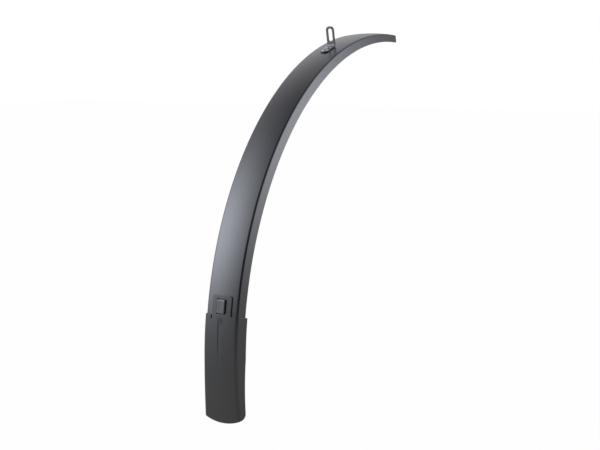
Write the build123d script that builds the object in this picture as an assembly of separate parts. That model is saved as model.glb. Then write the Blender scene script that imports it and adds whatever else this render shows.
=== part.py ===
from build123d import *
import math
import os

# A front-wheel mudguard, modelled about the wheel axle and moved to the fork bolt at the end.
# X is forwards, Y to the rider's left, Z up. Angles are at the axle, from forwards up and over.

# Blade, a sheet formed into a shallow channel
crown_radius = 360.0
face_width = 39.7
crown_height = 1.3
flange_drop = 9.6
flange_flare = 4.0
shoulder_radius = 2.0
sheet_thickness = 1.2
front_angle = 84.6
front_rake = 30.0
blade_corner = 1.2

# Fork bracket, a bent plate riveted to the crown
bracket_angle = 106.7
bracket_width = 11.0
bracket_thickness = 1.5
bracket_bend = 1.5
bracket_base = 20.8
tab_height = 22.0
tab_lean = 10.0
tab_corner = 4.4
base_corner = 5.0
slot_width = 5.5
slot_length = 16.0
slot_height = 11.4

# Blind rivets of the bracket
rivet_shank = 3.2
rivet_head = 6.2
rivet_dome = 1.4
rivet_tail = 5.0
rivet_tail_height = 1.6
rivet_pitch = 10.0
rivet_setback = 6.6

# Mud flap, moulded and pushed over the blade's rear end
flap_angle = 169.3
flap_length = 119.4
flap_wall = 1.3
flap_overlap = 46.0
flap_radius = 510.0
flap_widening = 2.1
flap_end_drop = 6.6
flap_end_radius = 58.0
flap_end_corner = 9.0
tail_steps = 4
lip_thickness = 1.0
lip_width = 3.2
tongue_length = 22.0
tongue_width = 24.6
tongue_wall = 1.3
tongue_corner = 2.5
tongue_root = 1.4
slit_width = 1.2
slit_length = 4.6

# Tapered groove down the flap
groove_start = 2.5
groove_length = 49.5
groove_width = 7.0
groove_tip = 3.6
groove_depth = 0.8
groove_tip_depth = 0.25
groove_corner = 1.3

# Stay block on the tongue and the screw that holds it from inside
block_width = 10.3
block_length = 15.6
block_rise = 1.8
block_roof = 0.8
window_gap = 0.8
block_round = 0.6
block_setback = 10.0
screw_size = 5.0
screw_head = 9.4
screw_head_height = 2.4
screw_head_bevel = 1.4
socket_size = 3.0
socket_depth = 1.4

# Clearances, and how closely edges are told apart
fit_gap = 0.2
lip_gap = 0.2
hole_gap = 0.15
seat_gap = 0.03
blade_end_gap = 2.0
tolerance = 0.02

# Shape of the crown and the size of the cutters
crown_arc = face_width ** 2 / (8 * crown_height)
flange_run_on = 2.0
cutter = crown_radius / 6
grip_depth = flange_drop + lip_gap + lip_thickness
blade_rear_angle = flap_angle + math.degrees((flap_overlap - blade_end_gap) / crown_radius)
block_angle = flap_angle - math.degrees(block_setback / crown_radius)
block_top = fit_gap + tongue_wall + block_rise
screw_reach = block_top - block_roof - seat_gap


def spoke(angle):
    """Unit vector from the axle at an angle."""
    return Vector(math.cos(math.radians(angle)), 0, math.sin(math.radians(angle)))


def radial_plane(origin, angle):
    """Plane across the blade: local x is sideways, local y points away from the axle."""
    out = spoke(angle)
    return Plane(origin=origin, x_dir=(0, 1, 0), z_dir=(out.Z, 0, -out.X))


def outside_plane(angle, radius):
    """Plane that looks at the crown from outside: local x is sideways, local y is up the blade."""
    return Plane(origin=spoke(angle) * radius, x_dir=(0, -1, 0), z_dir=spoke(angle))


def shoulder_half(outset):
    """Half width at the sharp shoulder of a face set out from the blade's outer face."""
    slant = math.hypot(flange_drop, flange_flare)
    return face_width / 2 + outset * (slant - flange_flare) / flange_drop


def outer_half(outset, depth):
    """Half width at a depth under the blade's shoulders, on a face set out from its outer face."""
    return shoulder_half(outset) + (depth + outset) * flange_flare / flange_drop


def channel_region(outset=0.0, widening=0.0, rounded=True):
    """Filled outline under the blade's outer face, or under a face set out from it by a distance.

    The flanges run on below their edges, so that a section is cut to its depth afterwards."""
    half = shoulder_half(outset) + widening
    shoulder = outset - crown_height
    foot = half + flange_flare * flange_run_on
    low = shoulder - flange_drop * flange_run_on
    region = make_face(
        Line((-foot, low), (-half, shoulder))
        + Bezier((-half, shoulder), (0, outset + crown_height), (half, shoulder))
        + Line((half, shoulder), (foot, low))
        + Line((foot, low), (-foot, low))
    )
    corners = region.vertices().sort_by(Axis.Y)[-2:]
    return fillet(corners, shoulder_radius + outset) if rounded else region


def below(depth):
    """Rectangle that takes away everything deeper than a depth under the shoulders."""
    size = 2 * (face_width + flange_flare + cutter)
    return Pos(0, -crown_height - depth - size / 2) * Rectangle(size, size)


def shell_section(inside, outside, depth, widening=0.0):
    """Channel section between two distances from the blade's outer face, square inside its shoulders."""
    hollow = channel_region(inside, widening, rounded=False)
    return channel_region(outside, widening) - hollow - below(depth)


def swept(section, start, end):
    """Turns a section about the axle from one angle to another."""
    plane = radial_plane(spoke(start) * crown_radius, start)
    axle = Axis((0, 0, 0), (0, -1, 0))
    return revolve(plane * section, axis=axle, revolution_arc=end - start)


def radial_hole(angle, diameter):
    """Cutter for a round hole through the crown."""
    return outside_plane(angle, crown_radius) * Cylinder(diameter / 2, cutter)


def inside_seat(diameter):
    """Drop from the crown's inner face to a flat round head that seats there on its rim."""
    bend = 1 / (crown_arc - sheet_thickness) + 1 / (crown_radius - sheet_thickness)
    return diameter ** 2 / 8 * bend + seat_gap


def rivet_angles():
    """The two places along the bracket's base where the rivets stand."""
    first = bracket_angle + math.degrees(rivet_setback / crown_radius)
    return first, first + math.degrees(rivet_pitch / crown_radius)


def front_trim():
    """Cutter for the blade's front end, raked so that the crown reaches further forward than the flanges."""
    rake = math.radians(front_rake)
    out = spoke(front_angle)
    ahead = Vector(out.Z, 0, -out.X)
    foot = out * (crown_radius - crown_height - flange_drop)
    plane = Plane(origin=foot, x_dir=(0, 1, 0), z_dir=ahead * math.cos(rake) - out * math.sin(rake))
    return plane * Pos(0, 0, cutter / 2) * Box(2 * cutter, 2 * cutter, cutter)


def make_blade():
    """The formed sheet with its raked front end, rivet holes and screw hole."""
    reach = (flange_drop + cutter) * math.tan(math.radians(front_rake))
    start = front_angle - math.degrees(reach / crown_radius)
    blade = swept(shell_section(-sheet_thickness, 0, flange_drop), start, blade_rear_angle)
    blade -= front_trim()
    front = blade.faces().sort_by(Axis.X)[-1]
    blade = fillet(front.edges().sort_by(Axis.Z)[:2], blade_corner)
    for angle in rivet_angles():
        blade -= radial_hole(angle, rivet_shank + 2 * hole_gap)
    return blade - radial_hole(block_angle, screw_size + 2 * hole_gap)


def bracket_corner():
    """Centre of the bend, and the tab's upward and forward directions."""
    lean = math.radians(tab_lean)
    up = Vector(-math.sin(lean), 0, math.cos(lean))
    ahead = Vector(math.cos(lean), 0, math.sin(lean))
    centre = spoke(bracket_angle) * (crown_radius + bracket_bend + bracket_thickness)
    return centre, up, ahead


def slot_centre():
    """Middle of the fork slot, half way through the tab."""
    centre, up, ahead = bracket_corner()
    return centre + ahead * (bracket_bend + bracket_thickness / 2) + up * slot_height


def bracket_profile():
    """Side outline of the bent plate: base along the crown, bend, then the leaning tab."""
    centre, up, ahead = bracket_corner()
    outer = bracket_bend + bracket_thickness
    tip_angle = bracket_angle + math.degrees(bracket_base / crown_radius)
    mid_angle = (bracket_angle + tip_angle) / 2
    under = crown_radius
    over = crown_radius + bracket_thickness
    halfway = (ahead - spoke(bracket_angle)).normalized()
    front_foot = centre + ahead * outer
    rear_foot = centre + ahead * bracket_bend
    edges = [
        ThreePointArc(spoke(tip_angle) * under, spoke(mid_angle) * under, spoke(bracket_angle) * under),
        ThreePointArc(spoke(bracket_angle) * under, centre + halfway * outer, front_foot),
        Line(front_foot, front_foot + up * tab_height),
        Line(front_foot + up * tab_height, rear_foot + up * tab_height),
        Line(rear_foot + up * tab_height, rear_foot),
        ThreePointArc(rear_foot, centre + halfway * bracket_bend, spoke(bracket_angle) * over),
        ThreePointArc(spoke(bracket_angle) * over, spoke(mid_angle) * over, spoke(tip_angle) * over),
        Line(spoke(tip_angle) * over, spoke(tip_angle) * under),
    ]
    return make_face(edges)


def is_plate_edge(edge):
    """True for an edge that runs through the plate's thickness."""
    return abs(edge.length - bracket_thickness) < tolerance


def make_bracket():
    """The bent plate with its rounded ends, long slot and rivet holes."""
    plate = extrude(bracket_profile(), bracket_width / 2, dir=(0, 1, 0), both=True)
    plate = fillet(plate.faces().sort_by(Axis.Z)[-1].edges().filter_by(is_plate_edge), tab_corner)
    plate = fillet(plate.faces().sort_by(Axis.X)[0].edges().filter_by(is_plate_edge), base_corner)
    centre, up, ahead = bracket_corner()
    face = Plane(origin=slot_centre(), x_dir=up, z_dir=ahead)
    plate -= extrude(face * SlotOverall(slot_length, slot_width), bracket_thickness, both=True)
    for angle in rivet_angles():
        plate -= radial_hole(angle, rivet_shank + 2 * hole_gap)
    return plate


def make_rivet(angle):
    """One blind rivet: domed head outside, shank, upset tail inside."""
    seat = bracket_thickness + seat_gap
    tail = -sheet_thickness - inside_seat(rivet_tail)
    shoulder = (rivet_head / 2 * math.cos(math.pi / 4), seat + rivet_dome * math.sin(math.pi / 4))
    outline = make_face(Polyline(
        (0, tail - rivet_tail_height),
        (rivet_tail / 2, tail - rivet_tail_height),
        (rivet_tail / 2, tail),
        (rivet_shank / 2, tail),
        (rivet_shank / 2, seat),
        (rivet_head / 2, seat),
        shoulder,
        (0, seat + rivet_dome),
        close=True,
    ))
    stand = Plane(origin=spoke(angle) * crown_radius, x_dir=(0, 1, 0), z_dir=spoke(angle))
    return stand * revolve(Plane.XZ * outline, axis=Axis.Z)


def flap_station(run):
    """Point on the flap's line and its outward angle, at a run down from the flap's top edge."""
    if run <= flap_overlap:
        angle = flap_angle + math.degrees(run / crown_radius)
        return spoke(angle) * crown_radius, angle
    bend = flap_angle + math.degrees(flap_overlap / crown_radius)
    angle = bend + math.degrees((run - flap_overlap) / flap_radius)
    hub = spoke(bend) * (crown_radius - flap_radius)
    return hub + spoke(angle) * flap_radius, angle


def flap_section(run):
    """Section of the flap's wall: even where it grips the blade, then wider and shallower."""
    share = max(0.0, (run - flap_overlap) / (flap_length - flap_overlap))
    depth = grip_depth + (flap_end_drop - grip_depth) * share
    wall = shell_section(fit_gap, fit_gap + flap_wall, depth, flap_widening * share ** 2)
    point, angle = flap_station(run)
    return radial_plane(point, angle) * wall


def grip_section():
    """Section where the flap grips the blade: the wall and a lip under each flange edge."""
    outer = channel_region(fit_gap + flap_wall)
    wide = face_width + cutter
    band = Pos(0, lip_thickness / 2 - crown_height - grip_depth) * Rectangle(wide, lip_thickness)
    mouth = Rectangle(face_width + 2 * (flange_flare - lip_width), wide)
    return shell_section(fit_gap, fit_gap + flap_wall, grip_depth) + ((outer & band) - mouth)


def flap_blank():
    """The flap's wall before its ends are trimmed: thin tongue, gripping sleeve and free tail."""
    top = flap_angle - math.degrees(tongue_length / crown_radius)
    tongue = swept(shell_section(fit_gap, fit_gap + tongue_wall, flange_drop), top, flap_angle)
    grip = swept(grip_section(), flap_angle, flap_angle + math.degrees(flap_overlap / crown_radius))
    runs = [flap_overlap + (flap_length - flap_overlap) * step / tail_steps for step in range(tail_steps + 1)]
    tail = loft([flap_section(run) for run in runs], ruled=True)
    return tongue + grip + tail


def tongue_trim():
    """Cutter that leaves the tongue standing above the flap's top edge."""
    plane = outside_plane(flap_angle, crown_radius)
    tall = tongue_length + cutter
    wide = 2 * (face_width + flange_flare)
    blank = Pos(0, tall / 2) * Rectangle(wide, tall)
    tongue = Pos(0, tongue_length / 2) * Rectangle(tongue_width, tongue_length)
    tongue = fillet(tongue.vertices().sort_by(Axis.Y)[-2:], tongue_corner)
    around = blank - tongue
    roots = [v for v in around.vertices() if abs(v.Y) < tolerance and abs(v.X) < tongue_width]
    around = fillet(roots, tongue_root)
    return extrude(plane * around, cutter / 2, both=True)


def slit_cutter():
    """Short relief slit beside the tongue's root, on the rider's left."""
    plane = outside_plane(flap_angle, crown_radius)
    slit = Pos(-tongue_width / 2, 0) * Rectangle(slit_width, 2 * slit_length)
    return extrude(plane * slit, cutter / 2, both=True)


def end_trim():
    """Cutter that rounds the flap's lower end."""
    point, angle = flap_station(flap_length)
    plane = Plane(origin=point, x_dir=(0, -1, 0), z_dir=spoke(angle))
    half = outer_half(fit_gap + flap_wall, flap_end_drop) + flap_widening
    rise = flap_end_radius - math.sqrt(flap_end_radius ** 2 - half ** 2)
    blank = Rectangle(2 * half + cutter, cutter)
    kept = make_face(
        ThreePointArc((-half, rise), (0, 0), (half, rise))
        + Line((half, rise), (half, cutter))
        + Line((half, cutter), (-half, cutter))
        + Line((-half, cutter), (-half, rise))
    )
    kept = fillet(kept.vertices().sort_by(Axis.Y)[:2], flap_end_corner)
    return extrude(plane * (blank - kept), cutter / 2, both=True)


def groove_cutter():
    """Tapered groove that fades out down the flap's centre line."""
    top_point, top_angle = flap_station(groove_start)
    tip_point, tip_angle = flap_station(groove_start + groove_length)
    skin = fit_gap + flap_wall
    floor_top = top_point + spoke(top_angle) * (skin - groove_depth)
    floor_tip = tip_point + spoke(tip_angle) * (skin - groove_tip_depth)
    mid_point, mid_angle = flap_station(groove_start + groove_length / 2)
    floor_mid = mid_point + spoke(mid_angle) * (skin - (groove_depth + groove_tip_depth) / 2)
    out = spoke(mid_angle) * cutter
    side = make_face(
        ThreePointArc(floor_top, floor_mid, floor_tip)
        + Line(floor_tip, floor_tip + out)
        + Line(floor_tip + out, floor_top + out)
        + Line(floor_top + out, floor_top)
    )
    slab = extrude(side, groove_width, dir=(0, 1, 0), both=True)
    plane = Plane(origin=mid_point, x_dir=(0, -1, 0), z_dir=spoke(mid_angle))
    half = groove_length / 2
    plan = make_face(
        Line((-groove_width / 2, half), (groove_width / 2, half))
        + Line((groove_width / 2, half), (groove_tip / 2, -half))
        + Line((groove_tip / 2, -half), (-groove_tip / 2, -half))
        + Line((-groove_tip / 2, -half), (-groove_width / 2, half))
    )
    plan = fillet(plan.vertices(), groove_corner)
    return slab & extrude(plane * plan, cutter, both=True)


def block_plan(grow=0.0):
    """Outline of the stay block seen from outside."""
    return Rectangle(block_width + 2 * grow, block_length + 2 * grow)


def make_flap():
    """The moulded flap: gripping sleeve, tongue with its window, groove and rounded end."""
    flap = flap_blank()
    window = outside_plane(block_angle, crown_radius) * block_plan(window_gap)
    flap -= extrude(window, cutter / 2, both=True)
    flap -= tongue_trim()
    flap -= slit_cutter()
    flap -= end_trim()
    return flap - groove_cutter()


def make_block():
    """The moulded block that stands in the tongue's window, with its blind screw hole."""
    plane = outside_plane(block_angle, crown_radius)
    block = plane * Pos(0, 0, -crown_height) * extrude(block_plan(), block_top + crown_height)
    block = fillet(block.faces().sort_by(Axis.X)[0].edges(), block_round)
    block -= plane * Cylinder(screw_size / 2 + hole_gap, 2 * (block_top - block_roof))
    span = math.degrees(block_length / crown_radius)
    return block - swept(channel_region(), block_angle - span, block_angle + span)


def make_screw():
    """The screw of the stay block: button head inside the blade, shank through it."""
    plane = outside_plane(block_angle, crown_radius)
    under = -sheet_thickness - inside_seat(screw_head)
    shank = extrude(Circle(screw_size / 2), screw_reach - under)
    head = extrude(Circle(screw_head / 2), -screw_head_height)
    head = chamfer(head.faces().sort_by(Axis.Z)[0].edges(), screw_head_bevel)
    socket = Pos(0, 0, -screw_head_height) * extrude(RegularPolygon(socket_size / 2, 6, major_radius=False),
                                                     socket_depth)
    return plane * Pos(0, 0, under) * (head + shank - socket)


def save(name, shape):
    """Moves a piece so that the fork slot is the origin and writes it."""
    home = slot_centre()
    export_step(Pos(-home.X, -home.Y, -home.Z) * shape, f"parts/{name}.step")


os.makedirs("parts", exist_ok=True)
save("blade", make_blade())
save("fork_bracket", make_bracket())
save("bracket_rivets", Compound(children=[make_rivet(angle) for angle in rivet_angles()]))
save("mud_flap", make_flap())
save("stay_block", make_block())
save("stay_screw", make_screw())
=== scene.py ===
# A front-wheel bicycle mudguard, built up in the order it is put together.
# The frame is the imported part: X forwards, Y to the rider's left, Z up, the fork slot at the origin.
import math

import bmesh
import bpy
import numpy as np
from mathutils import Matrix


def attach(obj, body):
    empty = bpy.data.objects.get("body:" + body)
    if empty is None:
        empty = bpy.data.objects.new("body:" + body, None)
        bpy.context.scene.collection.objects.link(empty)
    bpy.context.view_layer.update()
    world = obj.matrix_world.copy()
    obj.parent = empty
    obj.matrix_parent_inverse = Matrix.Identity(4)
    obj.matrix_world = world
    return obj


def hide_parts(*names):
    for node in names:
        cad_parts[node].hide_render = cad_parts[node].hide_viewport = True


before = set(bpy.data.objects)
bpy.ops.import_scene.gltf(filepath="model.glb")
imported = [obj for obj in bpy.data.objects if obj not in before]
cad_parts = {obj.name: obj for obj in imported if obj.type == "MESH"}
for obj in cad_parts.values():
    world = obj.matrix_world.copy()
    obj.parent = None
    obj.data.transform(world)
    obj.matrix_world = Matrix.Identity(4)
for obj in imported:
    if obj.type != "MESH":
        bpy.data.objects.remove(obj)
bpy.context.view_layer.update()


# Blade
# Aluminium sheet, rolled to a shallow channel with flared flanges and bent round the wheel.
# It is sprayed satin black after forming, so its cut edges are eased and coated too.
axle = np.array((0.104076, 0.0, -0.359307))
crown_radius = 0.360
face_half = 0.01985
crown_height = 0.0013
flange_drop = 0.0096
flange_flare = 0.0040
shoulder_radius = 0.0030
sheet_thickness = 0.0012
sheet_ease = 0.00035
edge_reach = 0.0016
rim_turns = np.radians((30, 60, 90))
rim_share = 0.49
front_angle = math.radians(84.6)
front_rake = math.radians(30.0)
front_corner = 0.0012
blade_length = 0.5762

crown_arc = (face_half ** 2 + crown_height ** 2) / (2 * crown_height)
face_slope = math.asin(face_half / crown_arc)
flange_slope = math.atan2(flange_drop, flange_flare)
shoulder_cut = shoulder_radius * math.tan((flange_slope - face_slope) / 2)
face_run = crown_arc * face_slope - shoulder_cut
face_end_slope = face_run / crown_arc
shoulder_run = shoulder_radius * (flange_slope - face_end_slope)
blade_half = face_run + shoulder_run + math.hypot(flange_drop, flange_flare) - shoulder_cut


def channel(across, lift):
    """Section of the blade: side offset and height at a run across the sheet from its centre line.

    The run goes along the crown's arc, then round the shoulder's arc, then straight down the flange,
    and the point is moved out along the section's own normal by lift."""
    run = np.abs(across)
    on_face = np.minimum(run, face_run)
    on_shoulder = np.clip(run - face_run, 0, shoulder_run)
    on_flange = np.maximum(run - face_run - shoulder_run, 0)
    slope = on_face / crown_arc + on_shoulder / shoulder_radius
    turn = face_end_slope + on_shoulder / shoulder_radius
    side = crown_arc * np.sin(on_face / crown_arc) + on_flange * math.cos(flange_slope)
    side = side + shoulder_radius * (np.sin(turn) - math.sin(face_end_slope))
    height = crown_arc * (np.cos(on_face / crown_arc) - 1) - on_flange * math.sin(flange_slope)
    height = height + shoulder_radius * (np.cos(turn) - math.cos(face_end_slope))
    return np.sign(across) * (side + lift * np.sin(slope)), height + lift * np.cos(slope)


def round_axle(angle, side, height):
    """Points at an angle about the axle, a side offset and a height over the crown's circle."""
    radius = crown_radius + height
    return axle + np.stack((radius * np.cos(angle), side, radius * np.sin(angle)), -1)


def on_blade(plan, lift):
    """Carries a flat plan, across and along the sheet, onto the blade: the section turned about the axle."""
    return round_axle(front_angle + plan[:, 1] / crown_radius, *channel(plan[:, 0], lift))


def joined(a, b, width):
    """Smaller of two signed distances, the inner corner between them filled over a width."""
    mix = np.clip(0.5 + 0.5 * (b - a) / width, 0, 1)
    return b + (a - b) * mix - width * mix * (1 - mix)


def common(a, b, width):
    """Larger of two signed distances, the outer corner between them rounded over a width."""
    return -joined(-a, -b, width)


slope_step = 2e-6
least_slope = 0.1
slide_rounds = 5


def slope_of(outline, plan):
    """Direction and rate at which a signed distance grows, by central differences."""
    across = outline(plan + (slope_step, 0)) - outline(plan - (slope_step, 0))
    along = outline(plan + (0, slope_step)) - outline(plan - (0, slope_step))
    return np.stack((across, along), 1) / (2 * slope_step)


def cut_sheet(outline, columns, rows, inset):
    """Grid of cells over a flat plan, kept where the outline's signed distance is inside the inset.

    Points on the kept cells' border are slid along the distance's slope onto the inset line.
    Returns the plan points, the quads, and the border's directed edges."""
    across, along = np.meshgrid(columns, rows)
    plan = np.stack((across.ravel(), along.ravel()), 1)
    wide = len(columns)
    corner = (np.arange(len(rows) - 1)[:, None] * wide + np.arange(wide - 1)).ravel()
    quads = np.stack((corner, corner + 1, corner + wide + 1, corner + wide), 1)
    quads = quads[outline(plan[quads].mean(1)) < -inset]
    used, quads = np.unique(quads, return_inverse=True)
    plan, quads = plan[used], quads.reshape(-1, 4)
    edges = np.stack((quads, np.roll(quads, -1, 1)), 2).reshape(-1, 2)
    key = np.sort(edges, 1) @ (len(plan), 1)
    _, place, count = np.unique(key, return_index=True, return_counts=True)
    border = edges[place[count == 1]]
    ring = np.unique(border)
    for _ in range(slide_rounds):
        slope = slope_of(outline, plan[ring])
        off = (outline(plan[ring]) + inset) / np.maximum((slope ** 2).sum(1), least_slope)
        plan[ring] -= off[:, None] * slope
    return plan, quads, border


def sheet(outline, columns, rows, carry, inner, outer, ease):
    """A sheet with eased edges: two skins at the heights inner and outer, joined by a rounded rim.

    The rim's points leave the skin's border along the outline's slope by ease times a sine,
    and drop by ease times one minus a cosine, through a quarter turn on each skin.
    The drop is less where the sheet is thin, so that the two turns never meet.
    Returns points, faces and how near each point is to a cut edge, from 0 to 1."""
    plan, quads, border = cut_sheet(outline, columns, rows, ease)
    ring, border = np.unique(border, return_inverse=True)
    a, b = border.reshape(-1, 2).T
    out = slope_of(outline, plan[ring])
    out = ease * out / np.hypot(*out.T)[:, None]
    low, high = inner(plan), outer(plan)
    deep = np.minimum(ease, rim_share * (high - low)[ring])
    points = [carry(plan, high), carry(plan, low)]
    loops = [ring]
    for skin, sign, turns in ((high, -1, rim_turns), (low, 1, rim_turns[::-1])):
        for turn in turns:
            loops.append(sum(map(len, points)) + np.arange(len(ring)))
            drop = sign * deep * (1 - math.cos(turn))
            points.append(carry(plan[ring] + out * math.sin(turn), skin[ring] + drop))
    loops.append(ring + len(plan))
    faces = [quads, quads[:, ::-1] + len(plan)]
    faces += [np.stack((u[b], u[a], v[a], v[b]), 1) for u, v in zip(loops, loops[1:])]
    points = np.concatenate(points)
    near = np.clip(1 + outline(plan) / edge_reach, 0, 1)
    edge = np.concatenate((near, near, np.ones(len(points) - 2 * len(plan))))
    return points, np.concatenate(faces), edge


seam_gap = 1e-6
sliver = 1e-7
sharp_angle = math.radians(50)


def add_piece(name, *shells):
    """One piece from shells of points, faces and edge values, with seams and poles merged.

    Faces are turned outwards, shading is smooth, and the edge values are kept as a point attribute."""
    starts = np.cumsum([0] + [len(points) for points, _, _ in shells])
    points = np.concatenate([points for points, _, _ in shells])
    faces = np.concatenate([faces + start for (_, faces, _), start in zip(shells, starts)])
    edge = np.concatenate([edge for _, _, edge in shells])
    mesh = bpy.data.meshes.new(name)
    mesh.from_pydata(points.tolist(), [], faces.tolist())
    mesh.attributes.new("edge", "FLOAT", "POINT").data.foreach_set("value", edge.astype(np.float32))
    work = bmesh.new()
    work.from_mesh(mesh)
    bmesh.ops.remove_doubles(work, verts=work.verts, dist=seam_gap)
    bmesh.ops.dissolve_degenerate(work, edges=work.edges, dist=sliver)
    bmesh.ops.recalc_face_normals(work, faces=work.faces)
    work.to_mesh(mesh)
    work.free()
    mesh.polygons.foreach_set("use_smooth", np.ones(len(mesh.polygons), bool))
    mesh.set_sharp_from_angle(angle=sharp_angle)
    piece = bpy.data.objects.new(name, mesh)
    bpy.context.scene.collection.objects.link(piece)
    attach(piece, "root")
    return piece


def level(height):
    """A skin at one height all over."""
    return lambda plan: np.full(len(plan), height)


def spread(start, *stops):
    """Values from a start through pairs of an end and the step that leads up to it."""
    values = [np.array((start,))]
    for end, step in zip(stops[::2], stops[1::2]):
        last = values[-1][-1]
        values.append(np.linspace(last, end, max(2, round((end - last) / step) + 1))[1:])
    return np.concatenate(values)


def mirrored(half):
    """Values on both sides of zero from those on one side."""
    return np.concatenate((-half[:0:-1], half))


def blade_outline(plan):
    """The blade laid flat: a long strip, its front end raked forward in step with the section's height."""
    across, along = plan.T
    _, height = channel(across, -sheet_thickness / 2)
    rise = height + crown_height + flange_drop
    front = (-rise * math.tan(front_rake) - along) * math.cos(front_rake)
    corner = common(np.abs(across) - blade_half, front, front_corner)
    return np.maximum(corner, along - blade_length)


side_margin = 0.0005
end_margin = 0.0004
front_reach = 0.0075
blade_columns = mirrored(spread(0, face_run, 0.0012, face_run + shoulder_run, 0.00026,
                                blade_half + side_margin, 0.0006))
blade_rows = spread(-front_reach, 0.003, 0.0004, 0.02, 0.001, 0.57, 0.002, blade_length + end_margin, 0.001)
blade = add_piece("blade", sheet(blade_outline, blade_columns, blade_rows, on_blade,
                                 level(-sheet_thickness), level(0.0), sheet_ease))
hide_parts("blade")


grain_detail, tone_detail, chip_detail = 3.0, 5.0, 2.0
chip_scale = 420.0
chip_start, chip_full = 0.42, 0.68


def surface_variation():
    """Node group: fine height, slow tone and patchy wear, all from noise on the object's own coordinates."""
    group = bpy.data.node_groups.new("surface_variation", "ShaderNodeTree")
    for name in ("Grain Scale", "Tone Scale"):
        group.interface.new_socket(name, in_out="INPUT", socket_type="NodeSocketFloat")
    for name in ("Height", "Tone", "Wear"):
        group.interface.new_socket(name, in_out="OUTPUT", socket_type="NodeSocketFloat")
    inputs = group.nodes.new("NodeGroupInput")
    outputs = group.nodes.new("NodeGroupOutput")
    coords = group.nodes.new("ShaderNodeTexCoord")
    edge = group.nodes.new("ShaderNodeAttribute")
    edge.attribute_name = "edge"
    links = group.links
    noises = []
    for detail in (grain_detail, tone_detail, chip_detail):
        noise = group.nodes.new("ShaderNodeTexNoise")
        noise.inputs["Detail"].default_value = detail
        links.new(coords.outputs["Object"], noise.inputs["Vector"])
        noises.append(noise)
    grain, tone, chips = noises
    links.new(inputs.outputs["Grain Scale"], grain.inputs["Scale"])
    links.new(inputs.outputs["Tone Scale"], tone.inputs["Scale"])
    chips.inputs["Scale"].default_value = chip_scale
    patchy = group.nodes.new("ShaderNodeMapRange")
    patchy.inputs["From Min"].default_value = chip_start
    patchy.inputs["From Max"].default_value = chip_full
    links.new(chips.outputs["Fac"], patchy.inputs["Value"])
    worn = group.nodes.new("ShaderNodeMath")
    worn.operation = "MULTIPLY"
    links.new(patchy.outputs["Result"], worn.inputs[0])
    links.new(edge.outputs["Fac"], worn.inputs[1])
    links.new(grain.outputs["Fac"], outputs.inputs["Height"])
    links.new(tone.outputs["Fac"], outputs.inputs["Tone"])
    links.new(worn.outputs["Value"], outputs.inputs["Wear"])
    return group


variation = surface_variation()


def coating(name, dark, light, worn, rough, ior, grain_scale, grain_depth, tone_scale):
    """Dielectric finish: colour slides from dark to light with the slow tone and to worn on its edges.

    Roughness runs between two values with the same tone, and the grain lifts the surface by grain_depth."""
    material = bpy.data.materials.new(name)
    material.use_nodes = True
    tree = material.node_tree
    shader = tree.nodes["Principled BSDF"]
    shader.inputs["IOR"].default_value = ior
    source = tree.nodes.new("ShaderNodeGroup")
    source.node_tree = variation
    source.inputs["Grain Scale"].default_value = grain_scale
    source.inputs["Tone Scale"].default_value = tone_scale
    body = tree.nodes.new("ShaderNodeMix")
    body.data_type = "RGBA"
    body.inputs["A"].default_value = (*dark, 1)
    body.inputs["B"].default_value = (*light, 1)
    tree.links.new(source.outputs["Tone"], body.inputs["Factor"])
    rubbed = tree.nodes.new("ShaderNodeMix")
    rubbed.data_type = "RGBA"
    rubbed.inputs["B"].default_value = (*worn, 1)
    tree.links.new(source.outputs["Wear"], rubbed.inputs["Factor"])
    tree.links.new(body.outputs["Result"], rubbed.inputs["A"])
    tree.links.new(rubbed.outputs["Result"], shader.inputs["Base Color"])
    gloss = tree.nodes.new("ShaderNodeMapRange")
    gloss.inputs["To Min"].default_value = rough[0]
    gloss.inputs["To Max"].default_value = rough[1]
    tree.links.new(source.outputs["Tone"], gloss.inputs["Value"])
    tree.links.new(gloss.outputs["Result"], shader.inputs["Roughness"])
    bump = tree.nodes.new("ShaderNodeBump")
    bump.inputs["Distance"].default_value = grain_depth
    tree.links.new(source.outputs["Height"], bump.inputs["Height"])
    tree.links.new(bump.outputs["Normal"], shader.inputs["Normal"])
    return material


blade.data.materials.append(coating(
    "blade_paint", dark=(0.0092, 0.0095, 0.0104), light=(0.0154, 0.0157, 0.0169), worn=(0.053, 0.053, 0.055),
    rough=(0.22, 0.28), ior=1.95, grain_scale=2200.0, grain_depth=0.00001, tone_scale=14.0))


# Fork bracket
# A stamped steel strip, bent up into a tab with a long slot for the fork bolt and painted black.
# Its base lies along the crown and is held by two blind rivets.
bracket_angle = math.radians(106.7)
bracket_width = 0.0110
bracket_thickness = 0.0015
bracket_ease = 0.0004
bend_outside = 0.0030
bracket_base = 0.0208
base_corner = 0.0050
tab_corner = 0.0044
tab_height = 0.0220
tab_lean = math.radians(10.0)
slot_width = 0.0055
slot_length = 0.0160
slot_height = 0.0114
bend_turn = math.pi + tab_lean - bracket_angle
tab_start = bracket_base + bend_turn * bend_outside


def rounded_box(plan, low, high, corner):
    """Signed distance to a rectangle with round corners: negative inside, zero on its outline.

    The corner's radius is one number, or one for each point of the plan."""
    centre = (np.array(low) + np.array(high)) / 2
    half = (np.array(high) - np.array(low)) / 2
    away = np.abs(plan - centre) - half + np.reshape(corner, (-1, 1))
    outside = np.hypot(*np.maximum(away, 0).T)
    return outside + np.minimum(away.max(1), 0) - corner


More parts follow.
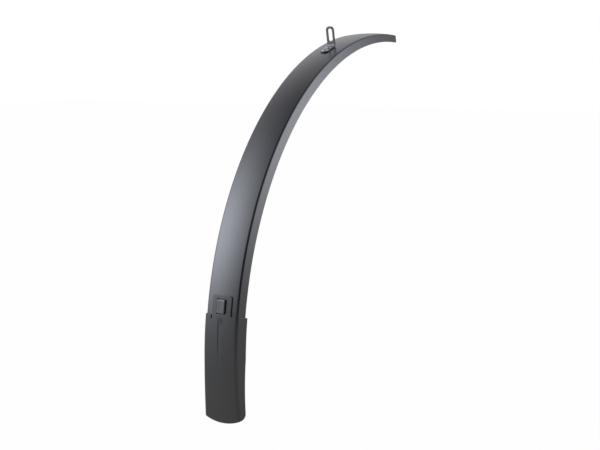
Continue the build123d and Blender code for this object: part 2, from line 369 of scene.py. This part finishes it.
def on_bracket(plan, lift):
    """Carries the flat strip onto its bent side line: along the crown, round the bend, up the tab.

    Lift is measured from the face that meets the crown and the fork, towards the inside of the bend."""
    run = plan[:, 1]
    base = np.minimum(run, bracket_base)
    turn = np.clip(run - bracket_base, 0, tab_start - bracket_base)[:, None] / bend_outside
    tab = np.maximum(run - tab_start, 0)[:, None]
    angle = bracket_angle + (bracket_base - base) / crown_radius
    out = np.stack((np.cos(angle), np.sin(angle)), 1)
    ahead = np.stack((np.sin(angle), -np.cos(angle)), 1)
    normal = out * np.cos(turn) - ahead * np.sin(turn)
    along = ahead * np.cos(turn) + out * np.sin(turn)
    spot = out * (crown_radius + bend_outside) + normal * (lift[:, None] - bend_outside) + along * tab
    return axle + np.stack((spot[:, 0], plan[:, 0], spot[:, 1]), 1)


def bracket_outline(plan):
    """The flat strip: round at both ends, with the bolt slot taken out of the tab."""
    half = bracket_width / 2
    corner = np.where(plan[:, 1] < tab_start, base_corner, tab_corner)
    strip = rounded_box(plan, (-half, 0), (half, tab_start + tab_height), corner)
    middle = tab_start + slot_height
    slot = rounded_box(plan, (-slot_width / 2, middle - slot_length / 2),
                       (slot_width / 2, middle + slot_length / 2), slot_width / 2)
    return np.maximum(strip, -slot)


bracket_margin = 0.0003
bracket_side = bracket_width / 2 + side_margin
bracket_columns = np.linspace(-bracket_side, bracket_side, 41)
bracket_rows = np.linspace(-bracket_margin, tab_start + tab_height + bracket_margin, 171)
bracket = add_piece("fork_bracket", sheet(bracket_outline, bracket_columns, bracket_rows, on_bracket,
                                          level(0.0), level(bracket_thickness), bracket_ease))
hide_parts("fork_bracket")
bracket_paint = coating(
    "bracket_paint", dark=(0.015, 0.015, 0.017), light=(0.025, 0.025, 0.026), worn=(0.046, 0.046, 0.047),
    rough=(0.45, 0.55), ior=1.6, grain_scale=1800.0, grain_depth=0.000012, tone_scale=60.0)


def glazed(material, ior, rough, bare_and_shaded_from):
    """Adds a clear coat that is whole on the faces and thins to nothing over the sheared edges, so the edges
    render darker: partly a bare cut edge, partly painted shade for the contact shadow along the strip.
    """
    tree = material.node_tree
    shader = tree.nodes["Principled BSDF"]
    shader.inputs["Coat IOR"].default_value = ior
    shader.inputs["Coat Roughness"].default_value = rough
    edge = tree.nodes.new("ShaderNodeAttribute")
    edge.attribute_name = "edge"
    cover = tree.nodes.new("ShaderNodeMapRange")
    cover.inputs["From Min"].default_value = bare_and_shaded_from
    cover.inputs["To Min"].default_value = 1.0
    cover.inputs["To Max"].default_value = 0.0
    tree.links.new(edge.outputs["Fac"], cover.inputs["Value"])
    tree.links.new(cover.outputs["Result"], shader.inputs["Coat Weight"])
    return material


# The darker coat-free edges are partly painted shade, standing in for the contact shadow along the base and
# the tab.
bracket.data.materials.append(glazed(bracket_paint, ior=2.8, rough=0.30, bare_and_shaded_from=0.75))


# Bracket rivets
# Two aluminium blind rivets: a low domed head over the bracket, and a tail set inside the blade.
# The stem breaks off inside the head and leaves a small dimple.
rivet_setback = 0.0066
rivet_pitch = 0.0100
rivet_angles = bracket_angle + (rivet_setback + rivet_pitch * np.arange(2)) / crown_radius
rivet_head = 0.0031
rivet_shank = 0.0016
rivet_tail = 0.0025
rivet_seat = 0.00153
rivet_dome = 0.0014
rivet_dimple = 0.0004
stem_edge = math.radians(15)
tail_top = -0.00126
tail_end = -0.00286
tail_ease = 0.0004
sides = 48


def grid_faces(points):
    """Quads over a grid of points."""
    tall, wide = points.shape[:2]
    corner = (np.arange(tall - 1)[:, None] * wide + np.arange(wide - 1)).ravel()
    return np.stack((corner, corner + 1, corner + wide + 1, corner + wide), 1)


def stood_on_crown(points, angle):
    """Stands a grid of points on the crown: z points away from the axle, x and y lie across and along."""
    flat = points.reshape(-1, 3)
    out = np.array((math.cos(angle), 0.0, math.sin(angle)))
    up = np.array((math.sin(angle), 0.0, -math.cos(angle)))
    side = np.array((0.0, -1.0, 0.0))
    place = axle + out * crown_radius + flat @ np.stack((side, up, out))
    return place, grid_faces(points), np.zeros(len(flat))


def turned(radius, height):
    """A profile turned round its axis: radius times the cosine and the sine of the angle.

    Each row of radius is one height's, the same all round or one number for each angle."""
    angle = np.linspace(0, 2 * np.pi, sides + 1)
    radius, height = np.broadcast_arrays(radius, height[:, None] + 0 * angle)
    return np.stack((radius * np.cos(angle), radius * np.sin(angle), height), 2)


dome = np.linspace(stem_edge, math.pi / 2, 7)
head_radius = rivet_head * np.sin(dome)
head_height = rivet_seat + rivet_dome * np.cos(dome)
dimple_floor = head_height[0] - rivet_dimple
rivet_radius = np.concatenate(((0, head_radius[0] - rivet_dimple / 2), head_radius,
                               (rivet_shank, rivet_shank, rivet_tail, rivet_tail, rivet_tail - tail_ease, 0)))
rivet_height = np.concatenate(((dimple_floor, dimple_floor), head_height,
                               (rivet_seat, tail_top, tail_top, tail_end + tail_ease, tail_end, tail_end)))
rivet = turned(rivet_radius[:, None], rivet_height)
rivets = add_piece("bracket_rivets", *[stood_on_crown(rivet, angle) for angle in rivet_angles])
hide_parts("bracket_rivets")


def bare_metal(name, dark, light, rough, grain_scale, tone_scale):
    """Metal finish: colour and roughness slide between two values with the slow tone of the surface."""
    material = coating(name, dark, light, light, rough, ior=1.5, grain_scale=grain_scale,
                       grain_depth=0.000004, tone_scale=tone_scale)
    material.node_tree.nodes["Principled BSDF"].inputs["Metallic"].default_value = 1.0
    return material


rivets.data.materials.append(bare_metal(
    "rivet_metal", dark=(0.46, 0.46, 0.47), light=(0.58, 0.58, 0.59), rough=(0.50, 0.60),
    grain_scale=3000.0, tone_scale=300.0))


# Mud flap
# A soft black moulding pushed over the blade's rear end, where lips under its flanges grip the sheet.
# A tongue with a window runs up the crown, and a shallow groove fades out down the face.
flap_angle = math.radians(169.3)
flap_length = 0.1194
flap_wall = 0.00124
flap_gap = 0.0002
flap_ease = 0.0002
flap_overlap = 0.0460
flap_radius = 0.510
flap_widening = 0.0020
grip_depth = 0.0108
end_depth = 0.0066
end_radius = 0.058
end_corner = 0.0062
lip_thickness = 0.0010
lip_setback = 0.0004
lip_inner = 0.02065
lip_outer = 0.0249
tongue_length = 0.0220
tongue_half = 0.0123
tongue_corner = 0.0025
tongue_root = 0.0022
slit_half = 0.0006
slit_length = 0.0046
groove_start = 0.0005
groove_length = 0.0515
groove_half = 0.0035
groove_tip_half = 0.0018
groove_depth = 0.0008
groove_tip_depth = 0.00025
groove_wall = 0.0004
groove_fade_in = 0.20
groove_fade_out = 0.45
gate_run = 0.0525
gate_radius = 0.0013
gate_depth = 0.0003
block_setback = 0.0100
block_half = np.array((0.00515, 0.0078))
window_gap = 0.0008


def free_share(run):
    """How far down the free tail a run is: 0 over the blade, 1 at the flap's end."""
    return np.clip((run - flap_overlap) / (flap_length - flap_overlap), 0, None)


def flap_channel(plan, lift):
    """The flap's section: the blade's, set out by lift, and wider with the square of the free share.

    The face is stretched by the widening, and the flanges are moved out by it."""
    side, height = channel(plan[:, 0], lift)
    return side + flap_widening * free_share(plan[:, 1]) ** 2 * np.clip(plan[:, 0] / face_run, -1, 1), height


def on_flap(plan, lift):
    """Carries the flap's plan onto its line: round the axle over the blade, then on a wider arc."""
    side, height = flap_channel(plan, lift)
    free = np.maximum(plan[:, 1] - flap_overlap, 0)
    held = np.minimum(plan[:, 1], flap_overlap)
    bend = flap_angle + held / crown_radius
    angle = bend + free / flap_radius
    shift = flap_radius - crown_radius
    x = shift * (np.cos(angle) - np.cos(bend))
    z = shift * (np.sin(angle) - np.sin(bend))
    return round_axle(angle, side, height) + np.stack((x, np.zeros_like(x), z), 1)


def flap_outline(plan):
    """The flap laid flat: sleeve with a rounded end, tongue, window and a short slit at the tongue's root."""
    across, run = plan.T
    share = np.clip(free_share(run), 0, 1)
    depth = grip_depth + (end_depth - grip_depth) * share
    lift = flap_gap + flap_wall / 2
    reach = blade_half + (depth - flange_drop + lift * math.cos(flange_slope)) / math.sin(flange_slope)
    side, _ = flap_channel(plan, lift)
    end = run - flap_length + end_radius - np.sqrt(end_radius ** 2 - side ** 2)
    sleeve = np.maximum(common(end, np.abs(across) - reach, end_corner), -run)
    tongue = rounded_box(plan, (-tongue_half, -tongue_length),
                         (tongue_half, tongue_length / 2), tongue_corner)
    middle = np.array((0, -block_setback))
    window = rounded_box(plan, middle - block_half - window_gap, middle + block_half + window_gap, window_gap)
    slit = rounded_box(plan, (tongue_half - slit_half, -slit_length),
                       (tongue_half + slit_half, slit_length), slit_half)
    return np.maximum(joined(sleeve, tongue, tongue_root), np.maximum(-window, -slit))


def eased(value):
    """Smooth step from 0 to 1."""
    share = np.clip(value, 0, 1)
    return share * share * (3 - 2 * share)


def flap_skin(plan):
    """Outer skin's height: one wall all over, less the groove and the gate mark.

    The groove narrows and grows shallow along its length, with soft walls and a soft start.
    The gate mark is a small dimple that falls off with the square of the distance."""
    across, run = np.abs(plan[:, 0]), plan[:, 1]
    down = (run - groove_start) / groove_length
    half = groove_half + (groove_tip_half - groove_half) * down
    depth = groove_depth + (groove_tip_depth - groove_depth) * down
    groove = eased((half - across) / groove_wall) * eased(down / groove_fade_in)
    groove = groove * eased((1 - down) / groove_fade_out)
    gate = np.exp(-(across ** 2 + (run - gate_run) ** 2) / gate_radius ** 2)
    return flap_gap + flap_wall - depth * groove - gate_depth * gate


def lip(sign):
    """Bar under one flange edge: a rectangle carried round the axle, its ends drawn in to a point."""
    start, end = lip_setback, flap_overlap - lip_setback
    run = np.r_[start, spread(start, end, 0.002), end]
    corners = np.array((lip_inner, lip_outer, lip_outer, lip_inner, lip_inner))
    height = -crown_height - grip_depth + lip_thickness * np.array((0, 0, 1, 1, 0))
    keep = np.ones((len(run), 1))
    keep[[0, -1]] = 0
    side = corners.mean() + (corners - corners.mean()) * keep
    height = height.mean() + (height - height.mean()) * keep
    angle = flap_angle + run[:, None] / crown_radius * np.ones(len(corners))
    points = round_axle(angle, sign * side, height)
    return points.reshape(-1, 3), grid_faces(points), np.zeros(points.size // 3)


flap_margin = 0.0026
window_side = block_half[0] + window_gap + flap_ease
tongue_side = tongue_half - flap_ease
flap_columns = mirrored(spread(0, groove_tip_half - groove_wall, 0.0003, groove_half, 0.0001,
                               window_side, 0.0003, tongue_side, 0.0006, face_run, 0.0006,
                               face_run + shoulder_run, 0.0003, blade_half + flap_margin, 0.0006))
flap_rows = spread(-tongue_length - end_margin, 0.006, 0.0004, 0.100, 0.0009,
                   flap_length + end_margin, 0.0005)
flap = add_piece("mud_flap", sheet(flap_outline, flap_columns, flap_rows, on_flap,
                                   level(flap_gap), flap_skin, flap_ease), lip(1), lip(-1))
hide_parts("mud_flap")
flap.data.materials.append(coating(
    "flap_plastic", dark=(0.0185, 0.0185, 0.0185), light=(0.028, 0.028, 0.028), worn=(0.040, 0.040, 0.040),
    rough=(0.35, 0.43), ior=1.8, grain_scale=1400.0, grain_depth=0.00004, tone_scale=30.0))


# Stay block
# A small moulded block that stands in the tongue's window on the blade's crown.
# It carries the thread for the stay's screw, and its upper edges are lightly rounded.
block_angle = flap_angle - block_setback / crown_radius
block_top = 0.0033
block_round = 0.0008
block_dish = 0.0001
block_power = 14.0
block_seat = 0.00003
brow_drop = 0.00045
brow_run = 0.0020
round_steps = 8
face_reach = 3.0


def pillow(half, base, top, round_over):
    """Rounded block: a squared oval drawn in along a quarter circle at its top edge, then to its centre.

    The oval's reach is the sum of the powered shares of each half width, to the inverse power.
    Over the brow's run at the upper end, the top falls away with the square of the distance."""
    angle = np.linspace(0, 2 * np.pi, 2 * sides + 1)
    ray = np.stack((np.cos(angle), np.sin(angle)), 1)
    turn = np.linspace(0, math.pi / 2, round_steps)
    face = np.linspace(1, face_reach, round_steps)[1:]
    inset = np.concatenate(((0, 0), round_over * (1 - np.cos(turn)), round_over * face))
    height = np.concatenate(((base, base), top - round_over * (1 - np.sin(turn)), top + 0 * face))
    size = half - inset[:, None, None] * np.ones((1, 1, 2))
    reach = (np.abs(ray / size) ** block_power).sum(2) ** (-1 / block_power)
    rings = ray * reach[:, :, None]
    rings = np.concatenate((rings[:1] * 0, rings, rings[:1] * 0))
    height = np.concatenate(((base,), height, (top - block_dish,)))[:, None]
    brow = np.clip((rings[:, :, 1] - half[1]) / brow_run + 1, 0, 1) ** 2
    return np.dstack((rings, height - brow_drop * brow * (height > base)))


block_form = pillow(block_half, block_seat, block_top, block_round)
block = add_piece("stay_block", stood_on_crown(block_form, block_angle))
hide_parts("stay_block")
block.data.materials.append(coating(
    "block_plastic", dark=(0.0185, 0.0185, 0.019), light=(0.028, 0.028, 0.0285), worn=(0.046, 0.046, 0.046),
    rough=(0.24, 0.32), ior=1.95, grain_scale=1600.0, grain_depth=0.00002, tone_scale=80.0))


# Stay screw
# A zinc-plated button-head screw through the crown from inside, with a hexagon socket.
# It holds the block, and a stay's eye is clamped under its head.
screw_seat = -0.001335
screw_head = 0.0047
screw_head_height = 0.0024
screw_shank = 0.0025
screw_reach = 0.00247
screw_rim = 0.0003
socket_half = 0.0015
socket_depth = 0.0014
button_edge = math.radians(30)
around = np.linspace(0, 2 * np.pi, sides + 1)
hexagon = socket_half / np.cos((around + np.pi / 6) % (np.pi / 3) - np.pi / 6)
head_end = screw_seat - screw_head_height
socket_floor = head_end + socket_depth
button = np.linspace(button_edge, math.pi / 2, 6)
button_height = (screw_head_height - screw_rim) * np.cos(button) / math.cos(button_edge)
round_radius = np.concatenate((screw_head * np.sin(button), (screw_head, screw_shank, screw_shank, 0)))
round_height = np.concatenate((screw_seat - screw_rim - button_height,
                               (screw_seat, screw_seat, screw_reach, screw_reach)))
screw_radius = np.concatenate((np.outer((0, 1, 1), hexagon), np.outer(round_radius, np.ones(sides + 1))))
screw_height = np.concatenate(((socket_floor, socket_floor, head_end), round_height))
screw = add_piece("stay_screw", stood_on_crown(turned(screw_radius, screw_height), block_angle))
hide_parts("stay_screw")
screw.data.materials.append(bare_metal(
    "screw_metal", dark=(0.60, 0.60, 0.61), light=(0.80, 0.80, 0.79), rough=(0.24, 0.36),
    grain_scale=2600.0, tone_scale=200.0))


# Studio
# A white floor well below the part and a white surround, with a broad soft panel on each side
# and a dimmer backdrop that shows only in reflections.
# The camera stands behind the bicycle's right side, a little above the part.
floor_height = -0.75
floor_half = 8.0
floor_glow = 0.985
floor_sheen = 0.17
floor_colour = (0.64, 0.62, 0.54, 1)
floor_rough = 0.9


def reckoned(tree, kind, operation, a, b):
    """One step of arithmetic among a tree's nodes, on a socket and a socket, number or vector."""
    node = tree.nodes.new(kind)
    node.operation = operation
    tree.links.new(a, node.inputs[0])
    if isinstance(b, bpy.types.NodeSocket):
        tree.links.new(b, node.inputs[1])
    else:
        node.inputs[1].default_value = b
    return node.outputs[0]


def floor_paint():
    """White to the camera and through glass, partly so in reflections, pale paint for all other light."""
    material = bpy.data.materials.new("floor_white")
    material.use_nodes = True
    tree = material.node_tree
    shader = tree.nodes["Principled BSDF"]
    shader.inputs["Base Color"].default_value = floor_colour
    shader.inputs["Roughness"].default_value = floor_rough
    glow = tree.nodes.new("ShaderNodeEmission")
    ray = tree.nodes.new("ShaderNodeLightPath")
    straight = reckoned(tree, "ShaderNodeMath", "MAXIMUM",
                        ray.outputs["Is Camera Ray"], ray.outputs["Is Transmission Ray"])
    straight = reckoned(tree, "ShaderNodeMath", "MULTIPLY", straight, floor_glow)
    bounced = reckoned(tree, "ShaderNodeMath", "MULTIPLY", ray.outputs["Is Glossy Ray"], floor_sheen)
    mix = tree.nodes.new("ShaderNodeMixShader")
    tree.links.new(reckoned(tree, "ShaderNodeMath", "MAXIMUM", straight, bounced), mix.inputs["Fac"])
    tree.links.new(shader.outputs["BSDF"], mix.inputs[1])
    tree.links.new(glow.outputs["Emission"], mix.inputs[2])
    tree.links.new(mix.outputs["Shader"], tree.nodes["Material Output"].inputs["Surface"])
    return material


floor_corners = floor_half * np.array(((-1, -1), (1, -1), (1, 1), (-1, 1)))
floor_mesh = bpy.data.meshes.new("floor")
floor_mesh.from_pydata([(x, y, floor_height) for x, y in floor_corners], [], [(0, 1, 2, 3)])
floor_mesh.materials.append(floor_paint())
floor = bpy.data.objects.new("floor", floor_mesh)
bpy.context.scene.collection.objects.link(floor)

world = bpy.data.worlds.new("studio")
world.use_nodes = True
bpy.context.scene.world = world
sky = world.node_tree
direction = sky.nodes.new("ShaderNodeTexCoord")
ray = sky.nodes.new("ShaderNodeLightPath")
room = sky.nodes.new("ShaderNodeRGB")
room.outputs["Color"].default_value = (0.013, 0.013, 0.013, 1)


def soft_spot(towards, sharpness):
    """Round soft spot in the surround: e to the sharpness times the cosine off its centre less one."""
    facing = sky.nodes.new("ShaderNodeVectorMath")
    facing.operation = "DOT_PRODUCT"
    facing.inputs[1].default_value = np.array(towards) / np.linalg.norm(towards)
    sky.links.new(direction.outputs["Generated"], facing.inputs[0])
    short = reckoned(sky, "ShaderNodeMath", "SUBTRACT", facing.outputs["Value"], 1.0)
    fall = reckoned(sky, "ShaderNodeMath", "EXPONENT", short, 0.0)
    return reckoned(sky, "ShaderNodeMath", "POWER", fall, sharpness)


def lit_by(so_far, spot, colour):
    """Adds a colour times a spot to the light so far."""
    share = reckoned(sky, "ShaderNodeVectorMath", "MULTIPLY", spot, colour)
    return reckoned(sky, "ShaderNodeVectorMath", "ADD", so_far, share)


left_panel = soft_spot((-0.548, 0.719, 0.428), 10.8)
right_panel = soft_spot((0.452, -0.806, 0.383), 8.6)
backdrop = soft_spot((0.62, 0.66, 0.42), 4.4)
light = lit_by(room.outputs["Color"], left_panel, (3.40, 3.54, 4.00))
light = lit_by(light, right_panel, (2.65, 2.72, 3.00))
reflected = reckoned(sky, "ShaderNodeMath", "MULTIPLY", backdrop, ray.outputs["Is Glossy Ray"])
light = lit_by(light, reflected, (0.92, 0.92, 0.98))
shown = reckoned(sky, "ShaderNodeMath", "MAXIMUM",
                 ray.outputs["Is Camera Ray"], ray.outputs["Is Transmission Ray"])
blend = sky.nodes.new("ShaderNodeMix")
blend.data_type = "RGBA"
blend.inputs["B"].default_value = (1, 1, 1, 1)
sky.links.new(shown, blend.inputs["Factor"])
sky.links.new(light, blend.inputs["A"])
sky.links.new(blend.outputs["Result"], sky.nodes["Background"].inputs["Color"])

lens = bpy.data.cameras.new("camera")
lens.lens = 61.79
lens.sensor_width = 36.0
camera = bpy.data.objects.new("camera", lens)
camera.location = (-1.12090, -0.62135, 0.00702)
camera.rotation_euler = np.radians((79.269, 1.1276, -59.338))
bpy.context.scene.collection.objects.link(camera)
bpy.context.scene.camera = camera
bpy.context.scene.view_settings.view_transform = "Standard"
